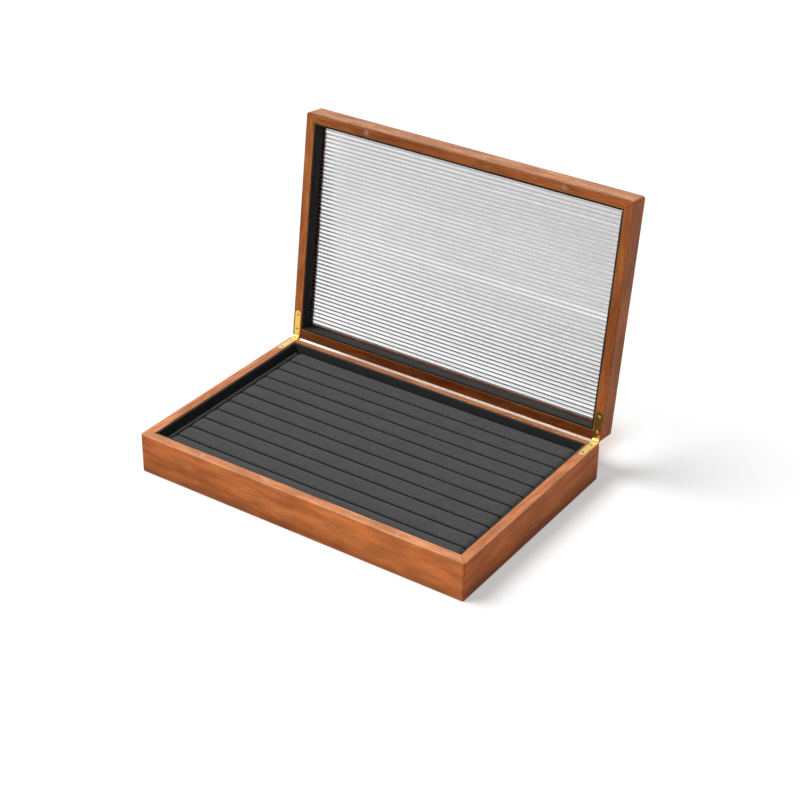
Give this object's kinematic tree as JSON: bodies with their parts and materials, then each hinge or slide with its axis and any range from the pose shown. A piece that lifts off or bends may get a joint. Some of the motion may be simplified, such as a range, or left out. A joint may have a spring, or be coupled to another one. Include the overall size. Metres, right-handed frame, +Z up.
{
  "type": "ring display box",
  "caption": "Shallow wooden display box with padded ring rolls in its lined base and a hinged lid that frames a clear reeded panel, held open by stop hinges.",
  "frame": {"origin": "centre of the case's underside, on the felt under the bottom panel", "axes": "+X right along the front, +Y towards the hinged back, +Z up"},
  "size_m": [0.35, 0.2813, 0.269],
  "materials": {
    "oiled_wood": "oiled reddish-brown hardwood with straight grain along each rail",
    "board": "plain plywood",
    "felt": "pressed black felt",
    "roll_microfibre": "dark grey brushed microfibre over foam",
    "lining_microfibre": "black-grey brushed microfibre on card",
    "reeded_glass": "clear, reeded on its inner side",
    "polished_brass": "polished",
    "magnet_steel": "nickel-plated"
  },
  "bodies": {
    "base": {"base_front_rail": "oiled_wood", "base_back_rail": "oiled_wood", "base_left_rail": "oiled_wood", "base_right_rail": "oiled_wood", "base_panel": "board", "base_felt": "felt", "base_lining_front": "lining_microfibre", "base_lining_back": "lining_microfibre", "base_lining_left": "lining_microfibre", "base_lining_right": "lining_microfibre", "insert_board": "board", "insert_left_cheek": "lining_microfibre", "insert_right_cheek": "lining_microfibre", "ring_roll_01": "roll_microfibre", "ring_roll_02": "roll_microfibre", "ring_roll_03": "roll_microfibre", "ring_roll_04": "roll_microfibre", "ring_roll_05": "roll_microfibre", "ring_roll_06": "roll_microfibre", "ring_roll_07": "roll_microfibre", "ring_roll_08": "roll_microfibre", "ring_roll_09": "roll_microfibre", "ring_roll_10": "roll_microfibre", "ring_roll_11": "roll_microfibre", "base_magnet_left": "magnet_steel", "base_magnet_right": "magnet_steel", "hinge_left_base_leaf": "polished_brass", "hinge_right_base_leaf": "polished_brass", "hinge_left_pin": "polished_brass", "hinge_right_pin": "polished_brass", "hinge_left_base_screws": "polished_brass", "hinge_right_base_screws": "polished_brass"},
    "lid": {"lid_front_rail": "oiled_wood", "lid_back_rail": "oiled_wood", "lid_left_rail": "oiled_wood", "lid_right_rail": "oiled_wood", "lid_lining_front": "lining_microfibre", "lid_lining_back": "lining_microfibre", "lid_lining_left": "lining_microfibre", "lid_lining_right": "lining_microfibre", "lid_panel": "reeded_glass", "lid_magnet_left": "magnet_steel", "lid_magnet_right": "magnet_steel", "hinge_left_lid_leaf": "polished_brass", "hinge_right_lid_leaf": "polished_brass", "hinge_left_lid_screws": "polished_brass", "hinge_right_lid_screws": "polished_brass"}
  },
  "joints": [
    {"name": "lid_hinge", "type": "hinge", "parent": "base", "child": "lid", "pos_m": [0, 0.11525, 0.03975], "axis": [1, 0, 0], "range_deg": [0, 97]}
  ]
}
